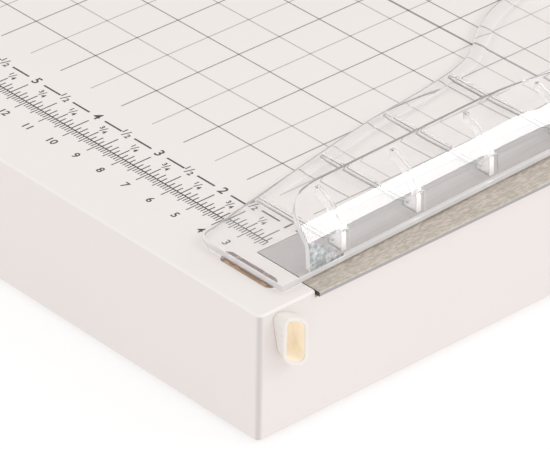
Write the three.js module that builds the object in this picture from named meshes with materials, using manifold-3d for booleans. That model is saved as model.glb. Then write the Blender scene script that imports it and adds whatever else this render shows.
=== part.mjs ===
// Guillotine paper cutter with a 12 inch cut, in millimetres, +Z up.
// Shapes are drawn in the deck frame: X = 0 at the zero of the printed ruler and growing towards
// the blade, Y growing from the user to the pivot, Z = 0 on the deck. The whole group is then
// moved so that its origin lies at the bottom centre of its box.
import * as THREE from 'three';
import { mergeVertices } from 'three/addons/utils/BufferGeometryUtils.js';
import Module from 'manifold-3d';

const wasm = await Module();
wasm.setup();

// ---------------------------------------------------------------- driving dimensions
const GAP = 0.3;                 // clearance between pieces that turn, slide or are cut for each other
const SEAT = 0.1;                // clearance between pieces that only rest on each other

const DECK = { left: -262, right: 1, front: -40, back: 332 };
const HOUSING = { height: 38.3, wall: 2.6, top: 3, corner: 1.8, edge: 0.8 };
const FOOT = { radius: 9, drop: 1.5, inset: 16 };
const COVER = { thickness: 2, recess: 0.7 };

const BED = { left: -21, right: 2.5, front: -20.6, back: 292, thickness: 1.3 };
const RAIL = { left: -23.5, right: -1.6, depth: 9 };

const PLATE = { bottom: 0.3, top: 2, front: -28.2, back: 288 };
const GUARD_EDGE = { start: -3.4, slope: 0.0285, end: 80 };
const SHIELD = { front: -18, back: 282, thickness: 1.7, corner: 14, low: 0.62 };
const SHORT_RIBS = { first: 100, left: -30 };      // ribs behind this Y begin at this X
const RIB = { first: -4.5, pitch: 27.4, count: 11, width: 1.6, height: 2.4, low: 1.5, inset: 1.8 };
const RIM = { width: 4.4, height: 0.4, start: -4, steps: 30 };

const SLOT = { left: -27, right: -7, front: -29.5, back: -25.4 };
const TAB = { front: -26.9, back: -25.8, bottom: -12, barb: 1.1 };
const TAB_SPANS = [[-25.4, -22.8], [-21.2, -12.6], [-11, -8.4]];
const GUARD_PIN = { y: 297, z: 4.2, radius: 1.4 };

const SOCKET = {
  y: -30.9, z: -9.4, width: 8.7, height: 14.6, radius: 3.2, wall: 1.25, mouth: 5, floor: -2.2,
};
const SLANT = 0.45;              // fall of the socket's upper edge per millimetre towards the back
const LEAN = { middle: 1, slope: 0.17 };           // how far the socket's root stands behind its mouth

const PIVOT = { y: 316, z: 12, radius: 4 };
const REST_ANGLE = 55;           // degrees that the arm stands above the deck at rest
const BLADE = { inner: 2.9, outer: 4.9, reach: 338 };
const ARM = { inner: 5.3, outer: 13.3, top: 13, bottom: -8, reach: 360 };
const GRIP = { start: -362, end: -470, inner: -3, outer: 21.5 };
const LOCK = { y: -29.9, z: -9.4, width: 3.6, height: 4.6, travel: 5, knob: 5 };

const ROUND_SIDES = 16;          // sides of a round piece
const HOLE_SIDES = 10;           // sides of a screw hole

// ---------------------------------------------------------------- materials
function finish(color, roughness, metalness, extra = {}) {
  return new THREE.MeshStandardMaterial({ color, roughness, metalness, ...extra });
}
const WHITE = [0xf1ece7, 0.35, 0];
const STEEL = [0xb9b2ab, 0.35, 1];
const CLEAR = [0xf4f8f8, 0.08, 0, { transparent: true, opacity: 0.35 }];
const BRONZE = [0xb08d6e, 0.4, 1];
const RUBBER = [0x3a3a3a, 0.9, 0];
const CREAM = [0xf2ead8, 0.4, 0];
const GREY = [0xcfcac5, 0.45, 0];

// ---------------------------------------------------------------- solids
function toSolid(geometry) {
  const bare = geometry.clone();
  bare.deleteAttribute('normal');
  bare.deleteAttribute('uv');
  const merged = mergeVertices(bare, 1e-4);
  const vertProperties = new Float32Array(merged.attributes.position.array);
  const triVerts = new Uint32Array(merged.index.array);
  return new wasm.Manifold(new wasm.Mesh({ numProp: 3, vertProperties, triVerts }));
}

function toGeometry(solid) {
  const mesh = solid.getMesh();
  const geometry = new THREE.BufferGeometry();
  geometry.setAttribute('position', new THREE.BufferAttribute(mesh.vertProperties, 3));
  geometry.setIndex(new THREE.BufferAttribute(mesh.triVerts, 1));
  geometry.computeVertexNormals();
  return geometry;
}

function join(geometries) {
  return toGeometry(geometries.map(toSolid).reduce((a, b) => a.add(b)));
}

function cut(geometry, tools) {
  return toGeometry(tools.map(toSolid).reduce((a, b) => a.subtract(b), toSolid(geometry)));
}

// ---------------------------------------------------------------- basic shapes
function box(x, y, z) {
  const geometry = new THREE.BoxGeometry(x[1] - x[0], y[1] - y[0], z[1] - z[0]);
  return geometry.translate((x[0] + x[1]) / 2, (y[0] + y[1]) / 2, (z[0] + z[1]) / 2);
}

function rodAlongX(radius, x, y, z, sides = ROUND_SIDES) {
  const geometry = new THREE.CylinderGeometry(radius, radius, x[1] - x[0], sides);
  return geometry.rotateZ(Math.PI / 2).translate((x[0] + x[1]) / 2, y, z);
}

function rodAlongZ(radius, x, y, z, sides = ROUND_SIDES) {
  const geometry = new THREE.CylinderGeometry(radius, radius, z[1] - z[0], sides);
  return geometry.rotateX(Math.PI / 2).translate(x, y, (z[0] + z[1]) / 2);
}

function roundedRectangle(x0, x1, y0, y1, r) {
  const shape = new THREE.Shape();
  shape.moveTo(x0 + r, y0);
  shape.lineTo(x1 - r, y0);
  shape.absarc(x1 - r, y0 + r, r, -Math.PI / 2, 0);
  shape.lineTo(x1, y1 - r);
  shape.absarc(x1 - r, y1 - r, r, 0, Math.PI / 2);
  shape.lineTo(x0 + r, y1);
  shape.absarc(x0 + r, y1 - r, r, Math.PI / 2, Math.PI);
  shape.lineTo(x0, y0 + r);
  shape.absarc(x0 + r, y0 + r, r, Math.PI, Math.PI * 1.5);
  return shape;
}

// An oval is a rectangle with fully rounded short ends, drawn round its centre.
function oval(cx, cy, width, height) {
  const r = Math.min(width, height) / 2 - 0.001;
  return roundedRectangle(cx - width / 2, cx + width / 2, cy - height / 2, cy + height / 2, r);
}

function extruded(shape, depth, curveSegments, steps = 1) {
  return new THREE.ExtrudeGeometry(shape, { depth, bevelEnabled: false, curveSegments, steps });
}

// Extruded with a bevel that stays inside the outline and inside the depth.
function softExtruded(shape, depth, bevel) {
  return new THREE.ExtrudeGeometry(shape, {
    depth: depth - 2 * bevel, bevelThickness: bevel, bevelSize: bevel, bevelOffset: -bevel, bevelSegments: 2,
    curveSegments: 4,
  }).translate(0, 0, bevel);
}

// Turns a shape drawn in X-Y and raised along Z into one drawn in Y-Z and raised along X.
function raisedAlongX(geometry) {
  const turn = new THREE.Matrix4().makeBasis(
    new THREE.Vector3(0, 1, 0), new THREE.Vector3(0, 0, 1), new THREE.Vector3(1, 0, 0));
  return geometry.applyMatrix4(turn);
}

function slabXY(shape, z, curveSegments = 6) {
  return extruded(shape, z[1] - z[0], curveSegments).translate(0, 0, z[0]);
}

// A slab drawn in the Y-Z plane and extruded along +X.
function slabYZ(shape, x, curveSegments = 6) {
  return raisedAlongX(extruded(shape, x[1] - x[0], curveSegments)).translate(x[0], 0, 0);
}

// A slab drawn in the X-Z plane and extruded along Y.
function slabXZ(shape, y, curveSegments = 6) {
  const turn = new THREE.Matrix4().makeBasis(
    new THREE.Vector3(1, 0, 0), new THREE.Vector3(0, 0, 1), new THREE.Vector3(0, -1, 0));
  return extruded(shape, y[1] - y[0], curveSegments).applyMatrix4(turn).translate(0, y[1], 0);
}

// A screw turned about Z: shank end and head face are given by their heights.
function screwAlongZ(x, y, shankRadius, headRadius, shankEnd, seat, headFace) {
  const out = Math.sign(headFace - seat);
  const crown = headFace - out * 0.6;
  const outline = [
    [0, shankEnd], [shankRadius, shankEnd], [shankRadius, seat], [headRadius, seat],
    [headRadius, crown], [headRadius - 0.7, headFace], [0, headFace],
  ].map(([r, z]) => new THREE.Vector2(r, z));
  const geometry = new THREE.LatheGeometry(out > 0 ? outline : outline.reverse(), 10);
  return geometry.rotateX(Math.PI / 2).translate(x, y, 0);
}

// A screw turned about X with its head on the outer side.
function screwAlongX(y, z, shankRadius, headRadius, shankEnd, seat, headFace) {
  const screw = screwAlongZ(0, 0, shankRadius, headRadius, shankEnd, seat, headFace);
  return screw.rotateY(Math.PI / 2).translate(0, y, z);
}

// ---------------------------------------------------------------- lock socket
// Slants a shape drawn round the socket's middle and leans its root towards the back.
function leaned(geometry) {
  const positions = geometry.attributes.position;
  for (let i = 0; i < positions.count; i += 1) {
    const [x, y] = [positions.getX(i), positions.getY(i)];
    const z = positions.getZ(i) - SLANT * (y - SOCKET.y);
    const depth = (SOCKET.mouth - x) / (SOCKET.mouth - DECK.right);
    positions.setZ(i, z);
    positions.setY(i, y + depth * (LEAN.middle + LEAN.slope * (SOCKET.z - z)));
  }
  return geometry;
}

// The socket's outline, smaller all round by a margin, between two X.
function socketSlab(margin, x) {
  const { y, z, radius } = SOCKET;
  const [width, height] = [SOCKET.width / 2 - margin, SOCKET.height / 2 - margin];
  const outline = roundedRectangle(y - width, y + width, z - height, z + height, radius - margin);
  const straight = raisedAlongX(extruded(outline, x[1] - x[0], 5, 5)).translate(x[0], 0, 0);
  return leaned(straight);
}

function lockSocket() {
  const { wall, mouth, floor } = SOCKET;
  const collar = socketSlab(0, [DECK.right + SEAT, mouth]);
  const tail = socketSlab(0.9, [floor - 1.2, DECK.right + 1]);
  return cut(join([collar, tail]), [socketSlab(wall, [floor, mouth + 0.5])]);
}

// ---------------------------------------------------------------- base
const BOSSES = [[-218, -26], [-131, -26], [-44, -28], [-218, 318], [-131, 318], [-50, 318]];
const BED_SCREWS_Y = [10, 100, 190, 275];
const FENCE_SCREWS_X = [-245, -160, -75];
const BRACKET_SCREWS = [[-24, 311.5], [-24, 325.5], [-10, 325.5]];
const RETAINER_SCREWS = [[-29, -27.2], [-6, -24.6]];
const COVER_TOP = -HOUSING.height + COVER.recess + COVER.thickness;
const COVER_BOTTOM = COVER_TOP - COVER.thickness;

function housingShell() {
  const { edge, corner, height, wall, top } = HOUSING;
  const outline = roundedRectangle(DECK.left, DECK.right, DECK.front, DECK.back, corner);
  const outer = new THREE.ExtrudeGeometry(outline, {
    depth: height, bevelThickness: edge, bevelSize: edge, bevelOffset: -edge, bevelSegments: 2,
    curveSegments: 4,
  }).translate(0, 0, -height - edge);
  const below = box([DECK.left - 5, DECK.right + 5], [DECK.front - 5, DECK.back + 5], [-60, -height]);
  const trimmed = cut(outer, [below]);
  const cavity = roundedRectangle(
    DECK.left + wall, DECK.right - wall, DECK.front + wall, DECK.back - wall, 1);
  return cut(trimmed, [slabXY(cavity, [-height - 5, -top])]);
}

function housingStructure() {
  const under = -HOUSING.top + 0.2;
  const bosses = BOSSES.map(([x, y]) => rodAlongZ(4.5, x, y, [COVER_TOP + SEAT, under], HOLE_SIDES));
  const posts = BRACKET_SCREWS.map(([x, y]) => rodAlongZ(4.2, x, y, [-16, under], HOLE_SIDES));
  const [length, width] = [[DECK.front + 1, DECK.back - 1], [DECK.left + 1, DECK.right - 1]];
  const lengthwise = [-195, -90].map((x) => box([x - 0.9, x + 0.9], length, [-11, under]));
  const crosswise = [60, 150, 240].map((y) => box(width, [y - 0.9, y + 0.9], [-11, under]));
  const rail = box([RAIL.left, RAIL.right], [BED.front - 1, BED.back + 2], [-RAIL.depth, under]);
  return [...bosses, ...posts, ...lengthwise, ...crosswise, rail];
}

function hingeLug(x) {
  const shape = new THREE.Shape();
  const { y, z } = GUARD_PIN;
  shape.moveTo(y - 4.2, -0.5);
  shape.lineTo(y + 4.2, -0.5);
  shape.lineTo(y + 3.6, z);
  shape.absarc(y, z, 3.6, 0, Math.PI);
  return slabYZ(shape, x);
}

function housingHoles() {
  const deep = [-HOUSING.top - 20, -0.9];
  const recessDepth = [-BED.thickness - SEAT, 5];
  const recess = box([BED.left - GAP, DECK.right + 5], [BED.front - GAP, BED.back + GAP], recessDepth);
  const slot = slabXY(oval((SLOT.left + SLOT.right) / 2, (SLOT.front + SLOT.back) / 2,
    SLOT.right - SLOT.left, SLOT.back - SLOT.front), [-10, 5]);
  const bossHoles = BOSSES.map(([x, y]) => rodAlongZ(1.9, x, y, [-40, -12], HOLE_SIDES));
  const bedHoles = BED_SCREWS_Y.map((y) => rodAlongZ(2.1, -10, y, [-20, 0], HOLE_SIDES));
  const fenceHoles = FENCE_SCREWS_X.map((x) => rodAlongZ(1.9, x, 306, [-20, 5], HOLE_SIDES));
  const bracketHoles = BRACKET_SCREWS.map(([x, y]) => rodAlongZ(2.4, x, y, [-14, 5], HOLE_SIDES));
  const retainerHoles = RETAINER_SCREWS.map(([x, y]) => rodAlongZ(1.3, x, y, deep, HOLE_SIDES));
  const pinHole = rodAlongX(GUARD_PIN.radius + GAP, [-60, -5], GUARD_PIN.y, GUARD_PIN.z, HOLE_SIDES);
  const socketHole = socketSlab(0.6, [SOCKET.floor - 1.6, DECK.right + 1]);
  const screwHoles = [...bossHoles, ...bedHoles, ...fenceHoles, ...bracketHoles, ...retainerHoles];
  return [recess, slot, pinHole, socketHole, ...screwHoles];
}

function baseHousing() {
  const lugs = [hingeLug([-53.5, -49]), hingeLug([-19, -14.5])];
  return cut(join([housingShell(), ...housingStructure(), ...lugs]), housingHoles());
}

function bottomCover() {
  const inset = HOUSING.wall + GAP;
  const outline = roundedRectangle(
    DECK.left + inset, DECK.right - inset, DECK.front + inset, DECK.back - inset, 2);
  const plate = slabXY(outline, [COVER_BOTTOM, COVER_TOP]);
  const stiffeners = [-180, -90].map((x) => box([x - 1, x + 1], [10, 280], [COVER_TOP - 0.2, COVER_TOP + 5]));
  const holes = BOSSES.map(([x, y]) => rodAlongZ(1.9, x, y, [-50, -20], HOLE_SIDES));
  return cut(join([plate, ...stiffeners]), holes);
}

function foot(x, y) {
  const low = -HOUSING.height - FOOT.drop;
  const outline = [
    [0, low], [FOOT.radius - 1.2, low], [FOOT.radius, low + 0.8], [FOOT.radius, COVER_BOTTOM - SEAT],
    [0, COVER_BOTTOM - SEAT],
  ].map(([r, z]) => new THREE.Vector2(r, z));
  return new THREE.LatheGeometry(outline, 16).rotateX(Math.PI / 2).translate(x, y, 0);
}

// ---------------------------------------------------------------- bed blade and its screws
function bedBlade() {
  const bar = box([BED.left, BED.right], [BED.front, BED.back], [-BED.thickness, 0]);
  return cut(bar, BED_SCREWS_Y.map((y) => rodAlongZ(2.1, -10, y, [-5, -0.6], HOLE_SIDES)));
}

// ---------------------------------------------------------------- clear guard
// The blade side of the guard drifts a little away from the bed blade's edge over its front part.
function guardEdgeX(y) {
  return GUARD_EDGE.start - GUARD_EDGE.slope * (Math.min(y, GUARD_EDGE.end) - PLATE.front);
}

const TABLE_SIDE = [
  [-37.9, -17.6], [-43.7, 12.2], [-49.6, 43.9], [-52.6, 70], [-57, 89], [-67.3, 104.5], [-73.5, 118.3],
  [-77, 140], [-77, 180], [-72, 206], [-60, 226], [-53, 245], [-50, 262], [-49.5, PLATE.back],
].map(([x, y]) => new THREE.Vector2(x, y));

function plateOutline() {
  const shape = new THREE.Shape();
  shape.moveTo(guardEdgeX(PLATE.front), PLATE.front);
  shape.lineTo(guardEdgeX(GUARD_EDGE.end), GUARD_EDGE.end);
  shape.lineTo(guardEdgeX(GUARD_EDGE.end), PLATE.back);
  shape.lineTo(TABLE_SIDE.at(-1).x, PLATE.back);
  shape.splineThru(TABLE_SIDE.slice(0, -1).reverse());
  shape.lineTo(-36.9, -22);
  shape.quadraticCurveTo(-36.7, PLATE.front, -32, PLATE.front);
  return shape;
}

function rimOutline() {
  const spline = new THREE.SplineCurve(TABLE_SIDE);
  const stations = Array.from({ length: RIM.steps + 1 }, (_, i) => i / RIM.steps);
  const used = stations.filter((t) => spline.getPoint(t).y > RIM.start);
  const outer = used.map((t) => spline.getPoint(t));
  const inner = used.map((t) => {
    const [point, tangent] = [spline.getPoint(t), spline.getTangent(t)];
    return new THREE.Vector2(point.x + RIM.width * tangent.y, point.y - RIM.width * tangent.x);
  });
  return new THREE.Shape([...outer, ...inner.reverse()]);
}

// Section of the shield: an upright foot, a slanted facet, then a curl over to the ridge.
function shieldSection() {
  const corners = [[-0.2, 1], [-0.75, 9.3], [-4.65, 13.55], [-7.8, 17], [-14, 17.8]];
  const [foot, knee, brow, crown, ridge] = corners.map(([x, z]) => new THREE.Vector2(x, z));
  const path = new THREE.CurvePath();
  path.add(new THREE.LineCurve(foot, knee));
  path.add(new THREE.LineCurve(knee, brow));
  path.add(new THREE.QuadraticBezierCurve(brow, crown, ridge));
  return path;
}
const SECTION = shieldSection();
const SECTION_LENGTHS = SECTION.getCurveLengths();
const KNEE = SECTION_LENGTHS[0] / SECTION.getLength();
const BROW = SECTION_LENGTHS[1] / SECTION.getLength();
const STATIONS = [0, KNEE / 2, KNEE - 0.06, KNEE, KNEE + 0.06, BROW, 0.68, 0.79, 0.9, 1];

function shieldHeight(y) {
  return 1 - (1 - SHIELD.low) * THREE.MathUtils.smoothstep(y, 55, 120);
}

// A point of the section at height fraction t, moved inwards by depth.
function sectionPoint(t, depth, y) {
  const point = SECTION.getPoint(t);
  const tangent = SECTION.getTangent(t);
  const x = point.x - tangent.y * depth;
  const z = point.y + tangent.x * depth;
  return new THREE.Vector2(guardEdgeX(y) + x, 1 + (z - 1) * shieldHeight(y));
}

function shieldEnd(t) {
  const u = Math.max(0, (t - BROW) / (1 - BROW));
  return SHIELD.corner * (1 - Math.sqrt(Math.max(0, 1 - u * u)));
}

function shield() {
  const along = 16;
  const positions = [];
  for (const depth of [0, SHIELD.thickness]) {
    for (const t of STATIONS) {
      const first = SHIELD.front + shieldEnd(t);
      const last = SHIELD.back - shieldEnd(t);
      for (let j = 0; j <= along; j += 1) {
        const y = first + ((last - first) * j) / along;
        const point = sectionPoint(t, depth, y);
        positions.push(point.x, y, point.y);
      }
    }
  }
  return closedSheet(positions, STATIONS.length - 1, along);
}

// Two grids of points, outer then inner, stitched along their four edges into one closed solid.
function closedSheet(positions, across, along) {
  const row = along + 1;
  const inner = (across + 1) * row;
  const faces = [];
  const quad = (a, b, c, d) => faces.push(a, b, c, a, c, d);
  for (let i = 0; i < across; i += 1) {
    for (let j = 0; j < along; j += 1) {
      const a = i * row + j;
      quad(a, a + 1, a + row + 1, a + row);
      quad(inner + a, inner + a + row, inner + a + row + 1, inner + a + 1);
    }
    const start = i * row;
    quad(start, start + row, inner + start + row, inner + start);
    const end = start + along;
    quad(end, inner + end, inner + end + row, end + row);
  }
  for (let j = 0; j < along; j += 1) {
    quad(j, inner + j, inner + j + 1, j + 1);
    const top = across * row + j;
    quad(top, top + 1, inner + top + 1, inner + top);
  }
  const geometry = new THREE.BufferGeometry();
  geometry.setAttribute('position', new THREE.Float32BufferAttribute(positions, 3));
  geometry.setIndex(faces);
  return geometry;
}

function tableSideX(y) {
  const points = new THREE.SplineCurve(TABLE_SIDE).getPoints(200);
  return points.reduce((a, b) => (Math.abs(b.y - y) < Math.abs(a.y - y) ? b : a)).x;
}

// One stiffening rib: low on the plate, then up the inside of the shield.
function rib(y) {
  const left = y < SHORT_RIBS.first ? tableSideX(y) + RIB.inset : SHORT_RIBS.left;
  const top = PLATE.top + RIB.low;
  const steps = [0.12, KNEE - 0.1, KNEE + 0.1, BROW, 0.7, 0.86, 0.95];
  const face = steps.map((t) => sectionPoint(t, SHIELD.thickness + RIB.height, y));
  const inside = face.filter((p) => p.y > top + 0.3);
  const outside = steps.reverse().map((t) => sectionPoint(t, SHIELD.thickness / 2, y));
  const foot = guardEdgeX(y) - 1;
  const start = new THREE.Vector2(left, 1);
  const shoulder = new THREE.Vector2(left + 1.2, top);
  const heel = new THREE.Vector2(inside[0].x - 1.5, top);
  const shape = new THREE.Shape([start, shoulder, heel, ...inside, ...outside, new THREE.Vector2(foot, 1)]);
  return slabXZ(shape, [y - RIB.width / 2, y + RIB.width / 2]);
}

function guardTab([left, right]) {
  const leg = box([left, right], [TAB.front, TAB.back], [TAB.bottom, 1.5]);
  const barb = [
    [TAB.back - 0.5, TAB.bottom], [TAB.back, TAB.bottom], [TAB.back + TAB.barb, TAB.bottom + 1.2],
    [TAB.back - 0.5, TAB.bottom + 1.2],
  ].map(([y, z]) => new THREE.Vector2(y, z));
  return join([leg, slabYZ(new THREE.Shape(barb), [left, right])]);
}

function guard() {
  const ribs = Array.from({ length: RIB.count }, (_, i) => rib(RIB.first + i * RIB.pitch));
  const tongue = box([-48.6, -19.4], [PLATE.back - 2, GUARD_PIN.y], [PLATE.bottom + 0.3, PLATE.top]);
  const knuckle = rodAlongX(3.6, [-48.6, -19.4], GUARD_PIN.y, GUARD_PIN.z, ROUND_SIDES);
  const plate = slabXY(plateOutline(), [PLATE.bottom, PLATE.top], 3);
  const rim = slabXY(rimOutline(), [1, PLATE.top + RIM.height]);
  const body = join([plate, rim, shield(), tongue, knuckle, ...ribs, ...TAB_SPANS.map(guardTab)]);
  return cut(body, [rodAlongX(GUARD_PIN.radius + GAP, [-60, -5], GUARD_PIN.y, GUARD_PIN.z, 12)]);
}

function guardPin() {
  return rodAlongX(GUARD_PIN.radius, [-54.5, -13.5], GUARD_PIN.y, GUARD_PIN.z, HOLE_SIDES);
}

// The retainer lies under the deck, with a step that stands up into the slot and bars between the tabs.
function guardRetainer() {
  const flange = box([-31, -4.6], [-33, -22.6], [-3.9, -3.1]);
  const step = box([-26, -8], [-29.1, -27.3], [-3.3, -0.8]);
  const bars = [[-22.5, -21.5], [-12.3, -11.3]].map((x) => box(x, [-28, -25.7], [-3.3, -0.8]));
  const windows = TAB_SPANS.map(([a, b]) => box([a - GAP, b + GAP], [-27.25, -24.3], [-6, 3]));
  const holes = RETAINER_SCREWS.map(([x, y]) => rodAlongZ(1.3, x, y, [-6, 3], HOLE_SIDES));
  return cut(join([flange, step, ...bars]), [...windows, ...holes]);
}

// ---------------------------------------------------------------- paper fence
function paperFence() {
  const shape = new THREE.Shape();
  shape.moveTo(301, SEAT);
  shape.lineTo(301, 8);
  shape.quadraticCurveTo(301, 9, 302, 9);
  shape.lineTo(307, 9);
  shape.quadraticCurveTo(311, 8.5, 311, 4);
  shape.lineTo(311, SEAT);
  const bar = slabYZ(shape, [-258, -62], 4);
  return cut(bar, FENCE_SCREWS_X.map((x) => rodAlongZ(1.9, x, 306, [-5, 6.5], HOLE_SIDES)));
}

// ---------------------------------------------------------------- pivot
function pivotBracket() {
  const flange = box([-31, 0.9], [306, 330.5], [SEAT, 3]);
  const outline = new THREE.Shape();
  outline.moveTo(306, SEAT);
  outline.lineTo(330.5, SEAT);
  outline.lineTo(328, PIVOT.z);
  outline.absarc(PIVOT.y, PIVOT.z, 12, 0, Math.PI);
  outline.lineTo(PIVOT.y - 12, PIVOT.z);
  const upright = slabYZ(outline, [-2.1, 0.9], 10);
  const gusset = [[-20, 2.5], [-1.8, 2.5], [-1.8, 16]].map(([x, z]) => new THREE.Vector2(x, z));
  const web = slabXZ(new THREE.Shape(gusset), [317, 320]);
  const holes = BRACKET_SCREWS.map(([x, y]) => rodAlongZ(2.4, x, y, [-3, 8], HOLE_SIDES));
  const bore = rodAlongX(PIVOT.radius + GAP, [-8, 8], PIVOT.y, PIVOT.z);
  const nutRoom = rodAlongX(8.6, [-12, -2.1], PIVOT.y, PIVOT.z);
  return cut(cut(join([flange, upright, web]), [...holes, bore]), [nutRoom]);
}

function washer(radius, x) {
  const disc = rodAlongX(radius, x, PIVOT.y, PIVOT.z, 20);
  return cut(disc, [rodAlongX(PIVOT.radius + GAP, [x[0] - 1, x[1] + 1], PIVOT.y, PIVOT.z)]);
}

function pivotBolt() {
  const shank = rodAlongX(PIVOT.radius, [-9.5, 16], PIVOT.y, PIVOT.z);
  const head = new THREE.LatheGeometry([
    [0, 15], [8.4, 15], [8.4, 17.6], [6.6, 19.4], [0, 20],
  ].map(([r, x]) => new THREE.Vector2(r, x)), 20).rotateZ(-Math.PI / 2).translate(0, PIVOT.y, PIVOT.z);
  const socket = rodAlongX(2.9, [17, 25], PIVOT.y, PIVOT.z, 6);
  return cut(join([shank, head]), [socket]);
}

function pivotNut() {
  const body = rodAlongX(7.2, [-8, -2.5], PIVOT.y, PIVOT.z, 6);
  return cut(body, [rodAlongX(PIVOT.radius + GAP, [-15, 0], PIVOT.y, PIVOT.z)]);
}

// ------------------------------------------------- arm, drawn lying down with the pivot at 0, 0
const BLADE_SCREWS = [[-40, 1], [-170, 1], [-300, 1]];
const GRIP_SCREWS_Y = [-385, -445];
const LOCK_POINT = { y: LOCK.y - PIVOT.y, z: LOCK.z - PIVOT.z };

function bladeArm() {
  const { top, bottom, reach } = ARM;
  const lobe = { left: LOCK_POINT.y - 11, right: LOCK_POINT.y + 11, low: LOCK_POINT.z - 9 };
  const shape = new THREE.Shape();
  shape.moveTo(0, 14);
  shape.lineTo(-40, top);
  shape.lineTo(-reach, top - 2);
  shape.lineTo(-reach, lobe.low + 5);
  shape.quadraticCurveTo(-reach, lobe.low, -reach + 5, lobe.low);
  shape.lineTo(lobe.right - 5, lobe.low);
  shape.quadraticCurveTo(lobe.right, lobe.low, lobe.right + 2, lobe.low + 6);
  shape.quadraticCurveTo(lobe.right + 5, bottom, lobe.right + 16, bottom);
  shape.lineTo(-30, bottom);
  shape.quadraticCurveTo(-12, bottom, -8, -11.5);
  shape.absarc(0, 0, 14, -Math.PI * 0.69, Math.PI / 2);
  const body = slabYZ(shape, [ARM.inner, ARM.outer], 5);
  const core = box([ARM.inner + 1, ARM.outer - 1], [-462, -reach + 2], [-5, 8]);
  const lightening = [-105, -235].map((y) => slabYZ(oval(y, 2, 70, 9), [ARM.outer - 3, ARM.outer + 3]));
  const holes = BLADE_SCREWS.map(([y, z]) => rodAlongX(2.3, [0, 20], y, z, HOLE_SIDES));
  const gripHoles = GRIP_SCREWS_Y.map((y) => rodAlongX(2.1, [0, 20], y, 1.5, HOLE_SIDES));
  const bore = rodAlongX(PIVOT.radius + GAP, [0, 20], 0, 0);
  const way = oval(LOCK_POINT.y, LOCK_POINT.z, LOCK.width + 2 * GAP, LOCK.height + 2 * GAP);
  const boltWay = slabYZ(way, [0, 20]);
  return cut(join([body, core]), [...lightening, ...holes, ...gripHoles, bore, boltWay]);
}

function movingBlade() {
  const shape = new THREE.Shape();
  shape.moveTo(0, 11);
  shape.lineTo(-BLADE.reach + 8, 7);
  shape.lineTo(-BLADE.reach, 0);
  shape.lineTo(-BLADE.reach, -22);
  shape.quadraticCurveTo(-170, -25, -16, -13.5);
  shape.quadraticCurveTo(-8, -12, -4, -10.2);
  shape.absarc(0, 0, 11, -Math.PI * 0.62, Math.PI / 2);
  const plate = slabYZ(shape, [BLADE.inner, BLADE.outer], 10);
  const holes = BLADE_SCREWS.map(([y, z]) => rodAlongX(2.3, [0, 20], y, z, HOLE_SIDES));
  return cut(plate, [...holes, rodAlongX(PIVOT.radius + GAP, [0, 20], 0, 0)]);
}

function handleGrip() {
  const shape = new THREE.Shape();
  shape.moveTo(GRIP.start, -9);
  shape.lineTo(GRIP.start, 11);
  shape.quadraticCurveTo(-385, 17, -420, 15);
  shape.quadraticCurveTo(-455, 13, GRIP.end + 6, 14);
  shape.quadraticCurveTo(GRIP.end, 12, GRIP.end, 4);
  shape.lineTo(GRIP.end, -6);
  shape.quadraticCurveTo(GRIP.end, -13, GRIP.end + 8, -14);
  shape.quadraticCurveTo(-435, -10, -415, -13);
  shape.quadraticCurveTo(-385, -13, GRIP.start, -9);
  const body = raisedAlongX(softExtruded(shape, GRIP.outer - GRIP.inner, 4)).translate(GRIP.inner, 0, 0);
  const across = [ARM.inner + 1 - GAP, ARM.outer - 1 + GAP];
  const pocket = box(across, [-462 - GAP, GRIP.start + 6], [-5 - GAP, 8 + GAP]);
  const shanks = GRIP_SCREWS_Y.map((y) => rodAlongX(2.1, [2, 30], y, 1.5, HOLE_SIDES));
  const heads = GRIP_SCREWS_Y.map((y) => rodAlongX(3.8, [19, 30], y, 1.5, 16));
  return cut(body, [pocket, ...shanks, ...heads]);
}

function lockBolt() {
  const { y, z } = LOCK_POINT;
  const tip = ARM.inner + 0.5;
  const face = ARM.outer + GAP + LOCK.travel;
  const bar = slabYZ(oval(y, z, LOCK.width, LOCK.height), [tip, face + 1]);
  const cap = roundedRectangle(y - 7.5, y + 7.5, z - 9.5, z + 9.5, 6);
  const knob = raisedAlongX(softExtruded(cap, LOCK.knob, 1.2)).translate(face, 0, 0);
  return join([bar, knob]);
}

// ---------------------------------------------------------------- assembly
const cutter = new THREE.Group();
const arm = new THREE.Group();
arm.position.set(0, PIVOT.y, PIVOT.z);
arm.rotation.x = -THREE.MathUtils.degToRad(REST_ANGLE);
cutter.add(arm);

function add(name, geometry, look, parent = cutter) {
  const mesh = new THREE.Mesh(geometry, finish(...look));
  mesh.name = name;
  parent.add(mesh);
}

function addBase() {
  add('base_housing', baseHousing(), WHITE);
  add('bottom_cover', bottomCover(), GREY);
  const { inset } = FOOT;
  const sides = { left: DECK.left + inset, right: DECK.right - inset };
  const ends = { front: DECK.front + inset, rear: DECK.back - inset };
  for (const [side, x] of Object.entries(sides)) {
    for (const [end, y] of Object.entries(ends)) {
      add(`foot_${end}_${side}`, foot(x, y), RUBBER);
    }
  }
  BOSSES.forEach(([x, y], i) => {
    const head = COVER_BOTTOM - SEAT;
    add(`cover_screw_${i + 1}`, screwAlongZ(x, y, 1.6, 3.2, -18, head, head - 1.5), STEEL);
  });
}

function addBed() {
  add('bed_blade', bedBlade(), STEEL);
  BED_SCREWS_Y.forEach((y, i) => {
    const seat = -RAIL.depth - SEAT;
    add(`bed_screw_${i + 1}`, screwAlongZ(-10, y, 1.8, 3.5, -0.9, seat, seat - 2.2), STEEL);
  });
}

function addGuard() {
  add('guard', guard(), CLEAR);
  add('guard_hinge_pin', guardPin(), STEEL);
  add('guard_retainer', guardRetainer(), BRONZE);
  RETAINER_SCREWS.forEach(([x, y], i) => {
    add(`retainer_screw_${i + 1}`, screwAlongZ(x, y, 1, 1.8, -1.2, -4, -5.2), STEEL);
  });
}

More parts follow.
